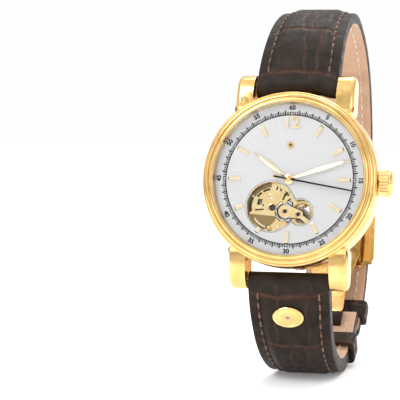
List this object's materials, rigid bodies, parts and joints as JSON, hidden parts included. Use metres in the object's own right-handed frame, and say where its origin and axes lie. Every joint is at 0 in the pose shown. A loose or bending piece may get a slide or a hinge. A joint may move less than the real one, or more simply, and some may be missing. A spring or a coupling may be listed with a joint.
{
  "type": "wristwatch",
  "caption": "Round open-heart automatic wristwatch, gold-tone case with display back, padded embossed leather strap and folding clasp, closed as worn.",
  "frame": {"origin": "centre of the back crystal's outer flat face, where the watch rests on the wrist", "axes": "-Y out of the dial towards the wearer's eye, +Z to twelve o'clock, +X to three o'clock and the crown, strap loop at +Y"},
  "size_m": [0.0448, 0.0678, 0.0899],
  "materials": {
    "gold": "polished gold plate",
    "movement_gold": "satin gilt",
    "wheel_brass": "satin",
    "steel": "brushed",
    "blue_steel": "polished, heat blued",
    "black": "satin black",
    "dial": "satin silver white",
    "ruby": "polished",
    "glass": "polished clear",
    "rubber": "matt",
    "leather": "embossed, satin"
  },
  "bodies": {
    "case": {"case_middle": "gold", "bezel": "gold", "front_crystal": "glass", "rehaut_ring": "steel", "dial": "dial", "case_back_ring": "steel", "back_crystal": "glass", "back_gasket": "rubber", "movement_ring": "steel", "crown_tube": "steel", "main_plate": "movement_gold", "dial_side_bridge": "movement_gold", "barrel_bridge": "movement_gold", "train_bridge": "movement_gold", "balance_cock": "movement_gold", "jewel_escape_front": "ruby", "jewel_fork_front": "ruby", "jewel_balance_front": "ruby", "screw_barrel_bridge": "blue_steel", "screw_train_bridge": "blue_steel", "screw_balance_cock": "blue_steel", "rotor_bearing": "steel", "spring_bar_upper": "steel", "spring_bar_lower": "steel"},
    "seconds": {"seconds_hand": "black", "seconds_wheel": "wheel_brass"},
    "minutes": {"minute_hand": "gold", "cannon_pinion": "steel", "centre_wheel": "wheel_brass"},
    "hours": {"hour_hand": "gold", "hour_wheel": "wheel_brass"},
    "minute_work": {"minute_wheel": "steel"},
    "third": {"third_wheel": "wheel_brass"},
    "escape": {"escape_wheel": "steel"},
    "fork": {"pallet_fork": "steel"},
    "balance": {"balance_wheel": "movement_gold", "hairspring": "blue_steel"},
    "barrel": {"barrel_drum": "wheel_brass", "barrel_cover": "wheel_brass", "mainspring": "steel"},
    "ratchet": {"ratchet_wheel": "steel", "barrel_arbor": "steel"},
    "crown_gear": {"crown_wheel": "steel"},
    "keyless": {"winding_pinion": "steel"},
    "stem": {"winding_stem": "steel", "crown": "gold"},
    "rotor": {"rotor": "movement_gold", "rotor_screw": "blue_steel"},
    "strap_twelve": {"strap_upper": "leather", "keeper_tail": "leather", "buckle_frame": "gold", "clasp_pin_bottom": "steel"},
    "strap_six": {"strap_lower": "leather", "keeper_strap": "leather", "strap_badge": "gold", "clasp_spring_bar": "steel"},
    "tongue": {"buckle_tongue": "gold"},
    "middle_blade": {"clasp_middle_blade": "gold"},
    "base_blade": {"clasp_base_blade": "gold", "clasp_pin_top": "steel"}
  },
  "joints": [
    {"name": "seconds_hand_spin", "type": "hinge", "parent": "case", "child": "seconds", "pos_m": [0, -0.005, 0], "axis": [0, 1, 0], "continuous": true},
    {"name": "minutes_spin", "type": "hinge", "parent": "case", "child": "minutes", "pos_m": [0, -0.005, 0], "axis": [0, 1, 0], "continuous": true},
    {"name": "hours_spin", "type": "hinge", "parent": "case", "child": "hours", "pos_m": [0, -0.005, 0], "axis": [0, 1, 0], "continuous": true},
    {"name": "minute_wheel_spin", "type": "hinge", "parent": "case", "child": "minute_work", "pos_m": [0.0029, -0.005, 0.00213], "axis": [0, 1, 0], "continuous": true},
    {"name": "third_wheel_spin", "type": "hinge", "parent": "case", "child": "third", "pos_m": [-0.0074, -0.005, 0.00175], "axis": [0, 1, 0], "continuous": true},
    {"name": "escape_wheel_spin", "type": "hinge", "parent": "case", "child": "escape", "pos_m": [-0.004, -0.005, -0.0066], "axis": [0, 1, 0], "continuous": true},
    {"name": "barrel_spin", "type": "hinge", "parent": "case", "child": "barrel", "pos_m": [0.0055, -0.005, 0.0054], "axis": [0, 1, 0], "continuous": true},
    {"name": "balance_swing", "type": "hinge", "parent": "case", "child": "balance", "pos_m": [0.00233, -0.005, -0.0081], "axis": [0, 1, 0], "range_deg": [-150, 150], "stiffness_Nm_per_rad": 0.000001},
    {"name": "fork_rock", "type": "hinge", "parent": "case", "child": "fork", "pos_m": [-0.00085, -0.005, -0.00745], "axis": [0, 1, 0], "range_deg": [-5, 5]},
    {"name": "crown_turn", "type": "hinge", "parent": "case", "child": "keyless", "pos_m": [0, -0.0048, 0], "axis": [1, 0, 0], "continuous": true},
    {"name": "crown_pull", "type": "slide", "parent": "keyless", "child": "stem", "axis": [1, 0, 0], "range_m": [0, 0.001]},
    {"name": "crown_wheel_spin", "type": "hinge", "parent": "case", "child": "crown_gear", "pos_m": [0.0113, -0.005, 0.0026], "axis": [0, 1, 0], "continuous": true},
    {"name": "ratchet_spin", "type": "hinge", "parent": "case", "child": "ratchet", "pos_m": [0.0055, -0.005, 0.0054], "axis": [0, 1, 0], "continuous": true},
    {"name": "rotor_spin", "type": "hinge", "parent": "case", "child": "rotor", "pos_m": [0, -0.005, 0], "axis": [0, 1, 0], "continuous": true},
    {"name": "clasp_open", "type": "hinge", "parent": "case", "child": "strap_twelve", "pos_m": [0, -0.0038, 0.0232], "axis": [1, 0, 0], "range_deg": [0, 16]},
    {"name": "strap_six_swing", "type": "hinge", "parent": "case", "child": "strap_six", "pos_m": [0, -0.0038, -0.0232], "axis": [1, 0, 0], "range_deg": [-8.1, 0.1]},
    {"name": "middle_blade_unfold", "type": "hinge", "parent": "strap_twelve", "child": "middle_blade", "pos_m": [0, 0.05, -0.0142], "axis": [1, 0, 0], "range_deg": [-0.5, 115.92]},
    {"name": "base_blade_unfold", "type": "hinge", "parent": "middle_blade", "child": "base_blade", "pos_m": [0, 0.0483, -0.001], "axis": [1, 0, 0], "range_deg": [-136.78, 0.5]},
    {"name": "tongue_lift", "type": "hinge", "parent": "strap_twelve", "child": "tongue", "pos_m": [0, 0.05075, -0.011], "axis": [-1, 0, 0], "range_deg": [0, 35]}
  ],
  "couplings": [
    {"joint": "minutes_spin", "follows": "seconds_hand_spin", "ratio": 0.016667},
    {"joint": "hours_spin", "follows": "seconds_hand_spin", "ratio": 0.0013889},
    {"joint": "minute_wheel_spin", "follows": "seconds_hand_spin", "ratio": -0.0055556},
    {"joint": "third_wheel_spin", "follows": "seconds_hand_spin", "ratio": -0.125},
    {"joint": "escape_wheel_spin", "follows": "seconds_hand_spin", "ratio": -10},
    {"joint": "barrel_spin", "follows": "seconds_hand_spin", "ratio": -0.0027778},
    {"joint": "fork_rock", "follows": "balance_swing", "ratio": 0.033333},
    {"joint": "crown_wheel_spin", "follows": "crown_turn", "ratio": -0.54545},
    {"joint": "ratchet_spin", "follows": "crown_turn", "ratio": 0.28571},
    {"joint": "strap_six_swing", "follows": "clasp_open", "ratio": -0.5},
    {"joint": "middle_blade_unfold", "follows": "clasp_open", "ratio": 7.2141},
    {"joint": "base_blade_unfold", "follows": "clasp_open", "ratio": -8.5175}
  ]
}
